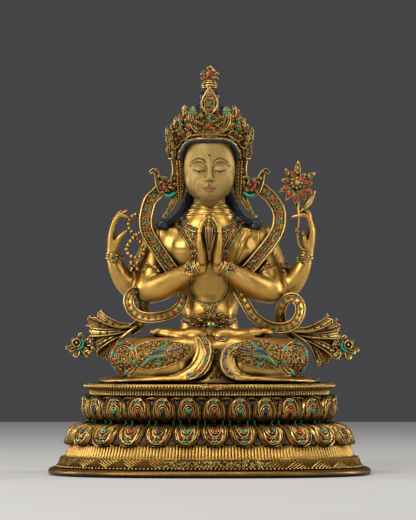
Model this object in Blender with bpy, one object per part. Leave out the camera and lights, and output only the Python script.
# Seated four-armed Avalokiteshvara of gilt copper on a double lotus pedestal.
# Blender 4.5, metres, +Z up, the figure looks along -Y, origin under the middle of the pedestal.

import bisect
import math

import bmesh
import bpy
from mathutils import Vector

MM = 0.001

# Pedestal, real sizes
BASE_WIDTH = 301.0 * MM
BASE_DEPTH = 226.0 * MM
FOOT_HEIGHT = 8.4 * MM
PLINTH_HEIGHT = 15.6 * MM
LOWER_LOTUS_HEIGHT = 24.0 * MM
UPPER_LOTUS_HEIGHT = 26.0 * MM
RIM_HEIGHT = 10.4 * MM
PLAN_POWER = 2.7
PETALS = 28
PETAL_SHIFT = 4.4 * MM
STEPS_PER_PETAL = 4
PETAL_RELIEF = 4.6 * MM

# How far the pedestal's mouldings lie inside its widest line
SOLE_INSET = 3.5 * MM
FOOT_TOP_INSET = 9.0 * MM
BAND_INSET = 12.0 * MM
LEDGE_INSET = 16.5 * MM
PLINTH_TOP_INSET = 20.0 * MM
LOWER_LOTUS_INSET = 18.6 * MM
WAIST_INSET = 40.5 * MM
UPPER_LOTUS_INSET = 32.8 * MM
NECK_INSET = 38.5 * MM
RIM_INSET = 35.0 * MM

# Figure, whose pose and carving are shares of its height
FIGURE_HEIGHT = 295.0 * MM
UNIT = FIGURE_HEIGHT / 295.0
SEAT_GAP = 0.3 * MM
PIECE_GAP = 0.35 * MM
CROWN_WALL = 2.6 * MM
SCARF_WIDTH = 12.5 * MM
SASH_WIDTH = 10.0 * MM
CLOTH_THICKNESS = 2.4 * MM
BEAD_DIAMETER = 3.6 * MM
BEAD_PITCH = 4.3 * MM

# Meshing of the free forms
FIGURE_VOXEL = 1.5 * MM
SMALL_VOXEL = 0.75 * MM
FIGURE_FACES = 2500
SCARF_FACES = 360
LOTUS_FACES = 420
MALA_FACES = 480

SEAT_Z = FOOT_HEIGHT + PLINTH_HEIGHT + LOWER_LOTUS_HEIGHT + UPPER_LOTUS_HEIGHT + RIM_HEIGHT + SEAT_GAP


def clear_scene():
    for obj in list(bpy.data.objects):
        bpy.data.objects.remove(obj)


def make_material(name, colour, roughness, metallic):
    material = bpy.data.materials.new(name)
    material.use_nodes = True
    shader = material.node_tree.nodes["Principled BSDF"]
    shader.inputs["Base Color"].default_value = (*colour, 1.0)
    shader.inputs["Roughness"].default_value = roughness
    shader.inputs["Metallic"].default_value = metallic
    material.diffuse_color = (*colour, 1.0)
    return material


def mesh_object(name, points, faces, material):
    mesh = bpy.data.meshes.new(name)
    mesh.from_pydata([tuple(p) for p in points], [], faces)
    model = bmesh.new()
    model.from_mesh(mesh)
    bmesh.ops.recalc_face_normals(model, faces=model.faces)
    model.to_mesh(mesh)
    model.free()
    mesh.materials.append(material)
    mesh.shade_smooth()
    mesh.set_sharp_from_angle(angle=math.radians(40))
    obj = bpy.data.objects.new(name, mesh)
    bpy.context.scene.collection.objects.link(obj)
    return obj


def figure_point(x, y, z):
    """A point of the figure, given in units of its drawing, with z above the seat."""
    return Vector((x * UNIT, y * UNIT, SEAT_Z + z * UNIT))


def smooth_path(stations, steps):
    """Catmull-Rom through rows of numbers, with this many steps from one row to the next."""
    count = len(stations)
    rows = []
    for i in range(count - 1):
        before = stations[max(i - 1, 0)]
        here = stations[i]
        there = stations[i + 1]
        after = stations[min(i + 2, count - 1)]
        for k in range(steps):
            t = k / steps
            row = [
                0.5 * (2 * b + (c - a) * t + (2 * a - 5 * b + 4 * c - d) * t * t
                       + (3 * b - a - 3 * c + d) * t ** 3)
                for a, b, c, d in zip(before, here, there, after)
            ]
            rows.append(row)
    rows.append(list(stations[-1]))
    return rows


def bridge(rings):
    """A closed body through rings, with flat ends. A ring may have half or double the points of the last."""
    starts = [0]
    for ring in rings:
        starts.append(starts[-1] + len(ring))
    points = [p for ring in rings for p in ring]
    faces = []
    for i in range(len(rings) - 1):
        low, high = starts[i], starts[i + 1]
        few = min(len(rings[i]), len(rings[i + 1]))
        for k in range(few):
            after = (k + 1) % few
            if len(rings[i]) == len(rings[i + 1]):
                faces.append((low + k, low + after, high + after, high + k))
            elif len(rings[i]) == few:
                middle = high + 2 * k + 1
                faces.append((low + k, middle, high + 2 * k))
                faces.append((low + k, low + after, middle))
                faces.append((low + after, high + 2 * after, middle))
            else:
                middle = low + 2 * k + 1
                faces.append((low + 2 * k, middle, high + k))
                faces.append((middle, high + after, high + k))
                faces.append((middle, low + 2 * after, high + after))
    faces.append(tuple(range(len(rings[0])))[::-1])
    faces.append(tuple(range(starts[-2], starts[-1])))
    return points, faces


def limb(stations, across=(1.0, 0.0, 0.0), sides=12, steps=3, dome=1.0):
    """A rounded limb through stations (x, y, z, half width, half depth) in drawing units."""
    rows = smooth_path(stations, steps)
    rings = []
    last = len(rows) - 1
    for i, row in enumerate(rows):
        here = figure_point(*row[:3])
        ahead = figure_point(*rows[min(i + 1, last)][:3])
        behind = figure_point(*rows[max(i - 1, 0)][:3])
        along = (ahead - behind).normalized()
        side = Vector(across)
        side = (side - along * side.dot(along)).normalized()
        other = along.cross(side)
        rounds = [(0.0, 1.0)]
        if i == 0:
            rounds = [(-0.92, 0.38), (-0.55, 0.83), (0.0, 1.0)]
        if i == last:
            rounds = [(0.0, 1.0), (0.55, 0.83), (0.92, 0.38)]
        half_width = row[3] * UNIT
        half_depth = row[4] * UNIT
        for shift, share in rounds:
            centre = here + along * shift * dome * min(half_width, half_depth)
            ring = []
            for k in range(sides):
                turn = 2 * math.pi * k / sides
                ring.append(
                    centre
                    + side * (math.cos(turn) * half_width * share)
                    + other * (math.sin(turn) * half_depth * share)
                )
            rings.append(ring)
    return bridge(rings)


def lump(x, y, z, rx, ry, rz):
    """An ellipsoid drawn as a short upright limb."""
    levels = [-1.0, -0.8, -0.4, 0.0, 0.4, 0.8, 1.0]
    rows = [(x, y, z + rz * t * 0.7, rx * math.sqrt(1.0 - 0.75 * t * t), ry * math.sqrt(1.0 - 0.75 * t * t))
            for t in levels]
    return limb(rows, steps=1)


def merge(shapes):
    points = []
    faces = []
    for some_points, some_faces in shapes:
        start = len(points)
        points += some_points
        faces += [tuple(i + start for i in face) for face in some_faces]
    return points, faces


def fused(name, shapes, voxel, face_count, material, smoothing=4, floor_cut=None):
    """Overlapping shapes made one closed skin by a voxel remesh, smoothed and thinned out."""
    obj = mesh_object(name, *merge(shapes), material)
    remesh = obj.modifiers.new("one skin", "REMESH")
    remesh.mode = "VOXEL"
    remesh.voxel_size = voxel
    remesh.use_smooth_shade = True
    smooth = obj.modifiers.new("soften", "SMOOTH")
    smooth.factor = 0.5
    smooth.iterations = smoothing
    if floor_cut:
        flat = obj.modifiers.new("flat underside", "BOOLEAN")
        flat.operation = "DIFFERENCE"
        flat.object = floor_cut
    bpy.context.view_layer.update()
    graph = bpy.context.evaluated_depsgraph_get()
    skin = bpy.data.meshes.new_from_object(obj.evaluated_get(graph))
    obj.modifiers.clear()
    obj.data = skin
    skin.materials.clear()
    skin.materials.append(material)
    skin.calc_loop_triangles()
    thin = obj.modifiers.new("fewer faces", "DECIMATE")
    thin.ratio = min(1.0, face_count / len(skin.loop_triangles))
    bpy.context.view_layer.update()
    graph = bpy.context.evaluated_depsgraph_get()
    light = bpy.data.meshes.new_from_object(obj.evaluated_get(graph))
    obj.modifiers.clear()
    obj.data = light
    light.shade_smooth()
    light.set_sharp_from_angle(angle=math.radians(50))
    return obj


def cut_by(obj, other, gap, name):
    """Takes a slightly swollen copy of the other piece out of obj, so that they meet with a gap."""
    cutter = bpy.data.objects.new(name, other.data.copy())
    bpy.context.scene.collection.objects.link(cutter)
    cutter.hide_render = True
    cutter.display_type = "WIRE"
    swell = cutter.modifiers.new("swell", "DISPLACE")
    swell.strength = gap
    swell.mid_level = 0.0
    cut = obj.modifiers.new(name, "BOOLEAN")
    cut.operation = "DIFFERENCE"
    cut.object = cutter


# The pedestal's plan, and its profile as (height, inset from the widest line, petal row)

def plan_point(angle, inset):
    """A point of the rounded oblong outline, at this angle from the middle of the front."""
    half_width = BASE_WIDTH / 2 - inset
    half_depth = BASE_DEPTH / 2 - inset
    c = math.sin(angle)
    s = -math.cos(angle)
    power = 2.0 / PLAN_POWER
    return Vector((
        math.copysign(abs(c) ** power, c) * half_width,
        math.copysign(abs(s) ** power, s) * half_depth,
        0.0,
    ))


def even_angles(count, inset, start):
    """Angles that divide the outline into equal lengths, the first this far right of the front's middle."""
    fine = 4096
    angles = [2 * math.pi * i / fine for i in range(fine + 1)]
    places = [plan_point(a, inset) for a in angles]
    lengths = [0.0]
    for i in range(fine):
        lengths.append(lengths[-1] + (places[i + 1] - places[i]).length)
    result = []
    for i in range(count):
        target = (start + lengths[-1] * i / count) % lengths[-1]
        j = min(bisect.bisect_left(lengths, target), fine)
        share = (target - lengths[j - 1]) / (lengths[j] - lengths[j - 1]) if j else 0.0
        result.append(angles[j - 1] + share * (angles[j] - angles[j - 1]) if j else 0.0)
    return result


def base_profile():
    """Rows of (height, inset from the widest line, petal bulge, drop of the valleys) from foot to seat."""
    plinth = FOOT_HEIGHT
    lower = plinth + PLINTH_HEIGHT
    upper = lower + LOWER_LOTUS_HEIGHT
    rim = upper + UPPER_LOTUS_HEIGHT
    top = rim + RIM_HEIGHT
    petal = UPPER_LOTUS_HEIGHT
    lower_swell = WAIST_INSET - LOWER_LOTUS_INSET
    upper_swell = NECK_INSET - UPPER_LOTUS_INSET
    return [
        (0.0, SOLE_INSET, 0.0, 0.0),
        (0.4 * FOOT_HEIGHT, 0.0, 0.0, 0.0),
        (0.88 * FOOT_HEIGHT, 0.33 * FOOT_TOP_INSET, 0.0, 0.0),
        (plinth, FOOT_TOP_INSET, 0.0, 0.0),
        (plinth + 0.47 * PLINTH_HEIGHT, BAND_INSET, 0.0, 0.0),
        (plinth + 0.5 * PLINTH_HEIGHT, LEDGE_INSET, 0.0, 0.0),
        (lower - 0.04 * PLINTH_HEIGHT, PLINTH_TOP_INSET, 0.0, 0.0),
        (lower + 0.09 * LOWER_LOTUS_HEIGHT, LOWER_LOTUS_INSET, 0.7, 0.10 * LOWER_LOTUS_HEIGHT),
        (lower + 0.42 * LOWER_LOTUS_HEIGHT, LOWER_LOTUS_INSET, 1.0, 0.0),
        (lower + 0.7 * LOWER_LOTUS_HEIGHT, LOWER_LOTUS_INSET + 0.09 * lower_swell, 0.9, 0.0),
        (lower + 0.87 * LOWER_LOTUS_HEIGHT, LOWER_LOTUS_INSET + 0.31 * lower_swell, 0.6, 0.0),
        (lower + 0.97 * LOWER_LOTUS_HEIGHT, LOWER_LOTUS_INSET + 0.88 * lower_swell, 0.2, 0.0),
        (upper, WAIST_INSET, 0.0, 0.0),
        (upper + 0.14 * UPPER_LOTUS_HEIGHT, UPPER_LOTUS_INSET + 0.65 * upper_swell, 0.35, 0.0),
        (upper + 0.46 * UPPER_LOTUS_HEIGHT, UPPER_LOTUS_INSET, 1.0, 0.0),
        (rim - 0.16 * UPPER_LOTUS_HEIGHT, UPPER_LOTUS_INSET + 0.3 * upper_swell, 0.9, -0.04 * petal),
        (rim - 0.03 * UPPER_LOTUS_HEIGHT, UPPER_LOTUS_INSET + 0.74 * upper_swell, 0.3, -0.12 * petal),
        (rim, NECK_INSET, 0.0, 0.0),
        (rim + 0.45 * RIM_HEIGHT, NECK_INSET, 0.0, 0.0),
        (rim + 0.55 * RIM_HEIGHT, RIM_INSET, 0.0, 0.0),
        (rim + 0.9 * RIM_HEIGHT, RIM_INSET, 0.0, 0.0),
        (top, 1.04 * RIM_INSET, 0.0, 0.0),
    ]


def make_base(material):
    """Petal rows have a column of points every quarter petal, plain mouldings every half petal."""
    count = PETALS * STEPS_PER_PETAL
    angles = even_angles(count, UPPER_LOTUS_INSET, PETAL_SHIFT)
    rings = []
    rows = base_profile()
    for row, (height, inset, bulge, drop) in enumerate(rows):
        ring = []
        plain = not 6 < row < 17
        for i in range(0, count, 2 if plain else 1):
            # Distance from the petal's middle, 0 on its axis and 1 at the valley between two petals
            off = abs((i / STEPS_PER_PETAL + 0.5) % 1.0 - 0.5) * 2
            swell = PETAL_RELIEF * bulge * (math.sqrt(1 - 0.75 * off * off) - 0.75)
            place = plan_point(angles[i], inset - swell)
            place.z = height + drop * off * off
            ring.append(place)
        rings.append(ring)
    return mesh_object("lotus_base", *bridge(rings), material)


# The figure's stations: (x, y, z, half width, half depth), right side of the picture positive

TORSO = [
    (0, 12, 16, 36, 27), (0, 11, 34, 33, 24), (0, 10, 50, 27, 20), (0, 9, 62, 25.5, 18.5),
    (0, 8, 82, 30, 20), (0, 7, 105, 38, 22), (0, 6, 122, 44, 21.5), (0, 6, 136, 45, 19),
    (0, 6, 146, 35, 16), (0, 5, 153, 21, 14),
]
NECK = [(0, 5, 148, 16, 15), (0, 3, 163, 14.2, 14.5), (0, 3, 182, 14.5, 15)]
HEAD = [
    (0, -10, 173, 8, 8), (0, -7, 177, 14.5, 14), (0, -4, 184, 19.8, 20.5), (0, -1, 194, 22.6, 24),
    (0, 1, 206, 23.6, 26), (0, 2, 218, 23.4, 26.5), (0, 3, 226, 22.6, 25.5),
]
NOSE = [(0, -24, 208, 2, 3), (0, -27, 199, 2.6, 3.5), (0, -27.5, 193.5, 4, 3.5)]
HAIR_CAP = [(0, 4, 227, 25.8, 27.2), (0, 4, 231, 25.4, 26.8), (0, 4, 237, 20, 20.5)]
HAIR_TIERS = [
    (0, 5, 236, 20.5, 21), (0, 5, 242, 19.5, 19.5), (0, 5, 250, 18.2, 18.2), (0, 5, 257, 13, 13),
    (0, 5, 260.5, 8.4, 8.4), (0, 5, 264.5, 10.2, 10.2), (0, 5, 268.5, 10.4, 10.4), (0, 5, 271.5, 6.6, 6.6),
]
EAR = [(24.5, 4, 207, 2, 5), (25.5, 3, 196, 2.2, 5.5), (25.5, 1, 183, 2, 3.5), (25.5, 0, 173, 2, 2.6)]
HAIR_BACK = [
    (0, 19, 218, 16, 8), (0, 22, 196, 19, 7), (0, 21, 172, 21, 7), (0, 20, 150, 30, 6.5),
    (0, 20, 140, 34, 5),
]
HAIR_LOCK = [(18, 15, 172, 4.6, 4.6), (24, 9, 160, 4.5, 4.5), (34, -1, 151, 4.4, 4.4), (42, -7, 146, 4, 4)]
FRONT_ARM = [
    (45, 7, 135, 14.5, 14.5), (49, 4, 121, 13.5, 13.5), (53, -2, 103, 12.5, 12.5),
    (56, -8, 87, 11.5, 11.5),
]
FRONT_FOREARM = [
    (56, -8, 86, 11.8, 11.8), (46, -17, 88, 12.2, 12.2), (33, -27, 94.5, 11, 11),
    (20, -36, 102.5, 8.4, 8.4), (10, -42, 108.5, 6.6, 6.6),
]
FRONT_HAND = [
    (9.6, -42, 107, 6, 6.5), (8.6, -44, 121, 4.4, 10), (7.6, -45, 135, 4, 9.5),
    (5.2, -46, 148, 3.2, 7.5), (2.4, -46.5, 156, 2.2, 3.5),
]
JEWEL = [(0, -45, 122, 3, 3), (0, -45, 138, 4.5, 4.5), (0, -45, 152, 2, 2)]
BACK_ARM = [
    (46, 14, 134, 13, 13), (56, 16, 116, 12.5, 12.5), (64, 13, 99, 11.5, 11.5),
    (69, 8, 86, 10.5, 10.5),
]
BACK_FOREARM = [
    (69, 8, 86, 10.5, 10.5), (78, 4, 93, 10, 10), (85, 0, 104, 8.5, 8.5), (89, -1, 114, 6.8, 6.8),
    (90, -2, 121, 6, 6),
]
RIGHT_RAISED_HAND = [
    (89.5, -2, 120, 6, 6), (90, -3, 129, 5, 7.5), (91.5, -4, 141, 3.5, 8), (89.5, -5, 151, 3.2, 7),
    (84.5, -6, 156, 3, 6), (77, -8, 154, 2.2, 3.6),
]
RIGHT_RAISED_THUMB = [(90, -7, 125, 3, 3), (86, -9, 133, 2.8, 2.8), (78, -10, 141, 2, 2)]
LEFT_RAISED_HAND = [
    (90.5, -2, 120, 6, 6), (94, -3, 131, 4.6, 7.5), (95.5, -4, 143, 3.8, 8), (93.5, -5, 154, 3.4, 7),
    (88, -6, 160, 3, 6), (80, -8, 156, 2.4, 4),
]
LEFT_RAISED_THUMB = [(91, -7, 124, 3.2, 3.2), (86, -9, 131, 2.8, 2.8), (82, -6, 141, 2.2, 2.2)]
THIGH = [(24, 22, 22, 25, 20), (45, 8, 24, 23, 20), (62, -8, 24, 20.5, 19), (73, -20, 23.5, 18.2, 18.2)]
SHIN = [(73, -20, 23.5, 18.2, 18.2), (54, -36, 22, 17, 17), (30, -48, 19, 15, 15), (8, -54, 15, 13, 13)]
FOOT = [(8, -38, 42, 7, 6), (26, -34, 45, 8.5, 5.5), (42, -29, 46, 7.5, 4.5), (55, -26, 46, 5, 4)]
SEAT_CLOTH = [(0, -3, -3, 102, 60), (0, -3, 2.5, 103, 61), (0, -3, 5.5, 96, 56)]
LAP_CLOTH = [(0, -52, 2, 26, 20), (0, -50, 12, 14, 14), (0, -42, 26, 11, 12), (0, -26, 40, 14, 12)]
HEM_FOLDS = [
    [
        (22, -46, 45, 2.4, 2.4), (17, -58, 37, 2.4, 2.4), (12, -66, 26, 2.4, 2.4),
        (11, -68.5, 15, 2.6, 2.6), (18, -68, 5, 3, 3),
    ],
    [(22, -66, 3, 3, 3), (50, -57, 4, 3, 3), (76, -42, 4, 2.6, 2.6), (94, -20, 3, 2.2, 2.2)],
]
PAIRS = [
    EAR, HAIR_LOCK, FRONT_ARM, FRONT_FOREARM, FRONT_HAND, BACK_ARM, BACK_FOREARM, THIGH, SHIN, FOOT,
    *HEM_FOLDS,
]


def on_side(rows, side):
    return [(row[0] * side, *row[1:]) for row in rows]


def make_figure(material):
    singles = (TORSO, NECK, HEAD, NOSE, HAIR_CAP, HAIR_TIERS, HAIR_BACK, JEWEL, LAP_CLOTH)
    shapes = [limb(stations) for stations in singles]
    shapes.append(limb(SEAT_CLOTH, sides=32, steps=1, dome=0.02))
    for side in (-1, 1):
        shapes += [limb(on_side(stations, side)) for stations in PAIRS]
    shapes += [limb(on_side(stations, -1)) for stations in (RIGHT_RAISED_HAND, RIGHT_RAISED_THUMB)]
    shapes += [limb(stations) for stations in (LEFT_RAISED_HAND, LEFT_RAISED_THUMB)]
    bpy.ops.mesh.primitive_cube_add(size=1.0)
    floor = bpy.context.object
    floor.name = "seat_plane"
    floor.scale = (BASE_WIDTH * 2, BASE_DEPTH * 2, SEAT_Z)
    floor.location = (0.0, 0.0, SEAT_Z / 2)
    floor.hide_render = True
    floor.display_type = "WIRE"
    return fused("figure", shapes, FIGURE_VOXEL, FIGURE_FACES, material, floor_cut=floor)


def make_finial(material):
    stations = [
        (0, 5, 276.4, 6.8, 6.8), (0, 5, 279.4, 6.8, 6.8), (0, 5, 281, 5, 5), (0, 5, 283.5, 6.2, 5),
        (0, 5, 287, 6.6, 4.5),
        (0, 5, 291, 4.6, 3.2), (0, 5, 295, 1.6, 1.4),
    ]
    rings = []
    for x, y, z, half_width, half_depth in smooth_path(stations, 1):
        centre = figure_point(x, y, z)
        rings.append([
            centre + Vector((math.cos(a) * half_width, math.sin(a) * half_depth, 0)) * UNIT
            for a in (2 * math.pi * k / 10 for k in range(10))
        ])
    return mesh_object("topknot_finial", *bridge(rings), material)


# The crown: a band round the hairline with leaves, each (angle from the front, tip height, half angle).
# Heights and radii are shares of the figure, in drawing units.

CROWN_LEAVES = [(0, 274, 33), (27, 254.5, 9), (50, 257, 19), (88, 236.5, 24)]
CROWN_SPAN = 112
CROWN_STEPS = 48
CROWN_ROWS = 4
CROWN_BAND = 5.0


def crown_foot(degrees):
    """Lower edge of the crown: level in front, dropping over the ears, in drawing units."""
    side = max(0.0, abs(degrees) - 40) / 45
    return 226.3 - 21.3 * min(1.0, side) ** 1.2


def crown_top(degrees):
    """Upper edge of the crown, in drawing units."""
    foot = crown_foot(degrees)
    best = foot + CROWN_BAND
    for middle, tip, half in CROWN_LEAVES:
        off = abs(abs(degrees) - middle) / half
        if off < 1:
            low = foot + CROWN_BAND
            best = max(best, low + (tip - low) * (1 - off ** 1.6))
    return best


def crown_reach(degrees, t):
    """Distance of the crown's inner face from the head's axis at this share of its height."""
    side = min(1.0, abs(degrees) / 85) ** 2
    return 26.0 + 3.0 * side + (4.0 + 5.0 * side) * (1 - (1 - t) ** 2)


def make_crown(material):
    rings = []
    for i in range(CROWN_STEPS + 1):
        degrees = -CROWN_SPAN + 2 * CROWN_SPAN * i / CROWN_STEPS
        turn = math.radians(degrees)
        away = Vector((math.sin(turn), -1.06 * math.cos(turn), 0))
        foot = crown_foot(degrees)
        top = crown_top(degrees)
        outer = []
        inner = []
        for k in range(CROWN_ROWS):
            t = k / (CROWN_ROWS - 1)
            reach = crown_reach(degrees, t)
            place = figure_point(away.x * reach, 2 + away.y * reach, foot + (top - foot) * t)
            inner.append(place)
            outer.append(place + away * CROWN_WALL)
        # Each ring runs up the outside of one column and down the inside
        rings.append(outer + inner[::-1])
    return mesh_object("crown", *bridge(rings), material)


# Flat cloth bands: rows of (x, y, z, width share, pleat depth) in drawing units

def band(rows, width, pleats=0, outward=(0.0, -1.0, 0.0)):
    """A band of cloth along the rows, its face turned outward, pleated where the rows say so."""
    columns = [-1.0, -0.5, 0.0, 0.5, 1.0]
    rings = []
    last = len(rows) - 1
    for i, row in enumerate(rows):
        here = figure_point(*row[:3])
        ahead = figure_point(*rows[min(i + 1, last)][:3])
        behind = figure_point(*rows[max(i - 1, 0)][:3])
        along = (ahead - behind).normalized()
        face = Vector(outward)
        face = (face - along * face.dot(along)).normalized()
        side = along.cross(face)
        front = []
        back = []
        for k, u in enumerate(columns):
            fold = row[4] * UNIT * (1 if k % 2 else -1)
            thick = CLOTH_THICKNESS / 2
            place = here + side * (u * width / 2 * row[3]) + face * fold
            front.append(place + face * thick)
            back.append(place - face * thick)
        rings.append(front + back[::-1])
    return bridge(rings)


RIGHT_SCARF = [
    (40, -3, 187, 0.7, 0), (43, -3, 182, 0.95, 0), (50, -4, 175, 1.0, 0), (55.4, -5, 169, 1.0, 0),
    (58.8, -7, 157, 1.0, 0), (59.6, -9, 149, 1.0, 0), (57.8, -11, 140, 1.0, 0),
    (51.7, -13, 129.4, 1.0, 0), (43.5, -15, 117, 1.0, 0), (34.6, -17, 104.5, 1.0, 0),
]
LEFT_SCARF = [
    (41, -3, 188, 0.7, 0), (46, -3, 182.5, 0.95, 0), (52.5, -4, 177, 1.0, 0), (58, -5, 171.5, 1.0, 0),
    (64, -7, 161.5, 1.0, 0), (65.4, -9, 153, 1.0, 0), (63.6, -11, 142.5, 1.0, 0),
    (56.9, -13, 130.6, 1.0, 0), (45.5, -15, 116.5, 1.0, 0), (35, -17, 104.5, 1.0, 0),
]
RIGHT_SASH = [
    (23.8, -15, 82, 0.9, 0), (26.8, -19, 72, 1.0, 0), (35, -22, 64.8, 1.0, 0), (46.2, -23, 61.2, 1.0, 0),
    (58.3, -22, 60.6, 1.0, 0), (68, -20, 63.6, 1.0, 0), (74, -18, 71, 1.0, 0), (74.8, -16, 79, 1.0, 0),
    (70, -13.5, 84.5, 1.0, 0), (64, -11, 81, 1.0, 0), (61.5, -9, 73, 1.0, 0), (62, -6, 62, 1.0, 0.6),
    (66.5, -2, 53, 1.3, 0.8), (77, 1, 47, 2.0, 1.1), (89, 2, 44, 3.2, 1.5), (103, 2, 40.5, 4.4, 2.0),
    (106, 2, 39.6, 1.5, 0.3), (111, 2, 37.5, 0.8, 0.2), (115, 2, 35.4, 2.1, 0.4), (121, 2, 32.8, 2.4, 0.4),
    (128, 2, 30.4, 1.9, 0.3), (134, 2, 29, 0.5, 0.1),
]
LEFT_SASH = [
    (25.5, -15, 86, 0.9, 0), (32.2, -19, 76.5, 1.0, 0), (40, -22, 63, 1.0, 0), (52.7, -24, 53.5, 1.0, 0),
    (65.7, -24, 50.8, 1.0, 0), (77.5, -22, 54.4, 1.0, 0), (84, -19, 64.5, 1.0, 0),
    (83.4, -16, 74.3, 1.0, 0),
    (77, -13, 79, 1.0, 0), (69.5, -10.5, 75.5, 1.0, 0), (66, -9, 67, 1.0, 0), (66.8, -6, 56, 1.0, 0.6),
    (72.5, -2, 48, 1.3, 0.8), (83, 1, 43.5, 2.0, 1.1), (96, 2, 40.5, 3.2, 1.5), (111.5, 2, 37, 4.2, 2.0),
    (114.5, 2, 36.4, 1.5, 0.3), (119.5, 2, 34.8, 0.8, 0.2), (123.5, 2, 33.4, 2.1, 0.4),
    (129.5, 2, 31.4, 2.4, 0.4),
    (136, 2, 29.6, 1.9, 0.3), (142, 2, 28.6, 0.5, 0.1),
]
EAR_SCROLL = [
    (31, -2, 200, 2.2, 2.2), (34, -3, 192, 3.2, 2.6), (39, -3, 187, 4.4, 3), (45, -3, 191, 4.4, 3),
    (48, -3, 196, 3.2, 2.8), (54, -3, 197.5, 1.8, 2),
]
EAR_TASSEL = [
    (34, -3, 184, 4.4, 3), (35.5, -5, 172, 3.4, 2.6), (39.5, -7, 161, 2.6, 2.2),
    (43, -8, 153, 1.4, 1.4),
]


def make_scarf(name, side, path, material):
    shapes = [band(smooth_path(on_side(path, side), 2), SCARF_WIDTH)]
    shapes += [limb(on_side(stations, side), sides=8, steps=2) for stations in (EAR_SCROLL, EAR_TASSEL)]
    return fused(name, shapes, SMALL_VOXEL, SCARF_FACES, material, smoothing=1)


def make_sash(name, side, path, material):
    """The scarf's lower end: it swings out below the elbow, curls and opens into a pleated tail."""
    rows = smooth_path(on_side(path[:13], side), 2)[:-1] + on_side(path[12:], side)
    return mesh_object(name, *band(rows, SASH_WIDTH), material)


MALA_PATH = [
    (62, 0, 151), (67, -3, 156), (72, -6, 155), (75.5, -8, 150), (75.2, -9, 144), (72.5, -9, 140),
    (69.5, -9.5, 136.5), (66.3, -10.5, 133), (63.2, -11.5, 129), (61.2, -12, 124.5), (61.8, -12, 120),
    (65.8, -12, 117), (70.3, -12, 116.5), (74.3, -12, 118.5), (77, -12, 122.5), (76.3, -12, 127.5),
    (73.4, -12.5, 132), (70, -13, 136), (66.5, -11, 138.5), (62, -5, 141),
]
MALA_TASSEL = [
    (69.5, -12, 116, 1.8, 1.6), (70, -12, 111, 4.6, 1.8), (70.5, -12, 106, 3.2, 1.6),
    (71, -12, 102, 1.8, 1.2),
]


def make_mala(material):
    """The prayer beads: a string with a ball at each step, held in the raised right hand."""
    points = smooth_path([(-x, y, z) for x, y, z in MALA_PATH], 8)
    shapes = [limb([(*p, 0.8, 0.8) for p in points[::4]], sides=6, steps=1)]
    walked = 0.0
    for before, here in zip(points, points[1:]):
        walked += (figure_point(*here) - figure_point(*before)).length
        if walked >= BEAD_PITCH:
            walked -= BEAD_PITCH
            radius = BEAD_DIAMETER / 2 / UNIT
            shapes.append(lump(*here, radius, radius, radius))
    shapes.append(limb(on_side(MALA_TASSEL, -1), sides=8, steps=2))
    return fused("mala", shapes, SMALL_VOXEL, MALA_FACES, material, smoothing=1)


LOTUS_CENTRE = (82, -11, 184)
LOTUS_REACH = 16.0
LOTUS_PETALS = 10
LOTUS_STEM = [
    (82, -9, 183, 1.8, 1.8), (82, -9, 168, 1.6, 1.6), (82.5, -11, 152, 1.6, 1.6),
    (81, -11, 140, 2.6, 2.6), (81.5, -10, 131, 1.8, 1.8), (85, -9, 123, 1.8, 1.8),
    (90, -9, 121, 1.6, 1.6),
]
LOTUS_BUD = [
    (83, -10, 160, 1.4, 1.4), (91, -10, 165, 3.2, 2.6), (95, -10, 171, 3, 2.6),
    (98.5, -10, 178, 0.9, 0.9),
]


def make_lotus(material):
    """The lotus in the raised left hand: a ring of pointed petals round a boss, a bud and the stem."""
    x, y, z = LOTUS_CENTRE
    shapes = [lump(x, y - 2, z, 5.5, 5, 5.5)]
    for i in range(LOTUS_PETALS):
        turn = 2 * math.pi * (i + 0.5) / LOTUS_PETALS
        reach = LOTUS_REACH + 8.0 * max(0.0, math.cos(turn)) ** 6
        stations = [
            (x + math.sin(turn) * r, y + lean, z + math.cos(turn) * r, wide, 1.5)
            for r, lean, wide in (
                (2.0, 0, 2.4), (0.5 * reach, -1.5, 3.4), (0.8 * reach, -1, 2.2), (reach, 1, 0.8)
            )
        ]
        shapes.append(limb(stations, across=(math.cos(turn), 0.0, -math.sin(turn)), sides=8, steps=1))
    shapes += [limb(LOTUS_STEM, sides=8), limb(LOTUS_BUD, sides=8)]
    return fused("lotus_flower", shapes, SMALL_VOXEL, LOTUS_FACES, material, smoothing=1)


def main():
    clear_scene()
    gold = make_material("gilt copper", (0.83, 0.60, 0.24), 0.3, 1.0)
    old_gold = make_material("shaded gilt copper", (0.62, 0.42, 0.15), 0.36, 1.0)
    make_base(old_gold)
    figure = make_figure(gold)
    finial = make_finial(gold)
    cut_by(finial, figure, PIECE_GAP, "figure_for_finial")
    crown = make_crown(old_gold)
    cut_by(crown, figure, PIECE_GAP, "figure_for_crown")
    sides = (("right", -1, RIGHT_SCARF, RIGHT_SASH), ("left", 1, LEFT_SCARF, LEFT_SASH))
    for name, side, scarf_path, sash_path in sides:
        scarf = make_scarf("scarf_" + name, side, scarf_path, gold)
        cut_by(scarf, figure, PIECE_GAP, "figure_for_scarf_" + name)
        sash = make_sash("sash_" + name, side, sash_path, gold)
        cut_by(sash, figure, PIECE_GAP, "figure_for_sash_" + name)
    mala = make_mala(gold)
    cut_by(mala, figure, PIECE_GAP, "figure_for_mala")
    lotus = make_lotus(old_gold)
    cut_by(lotus, figure, PIECE_GAP, "figure_for_lotus")


main()
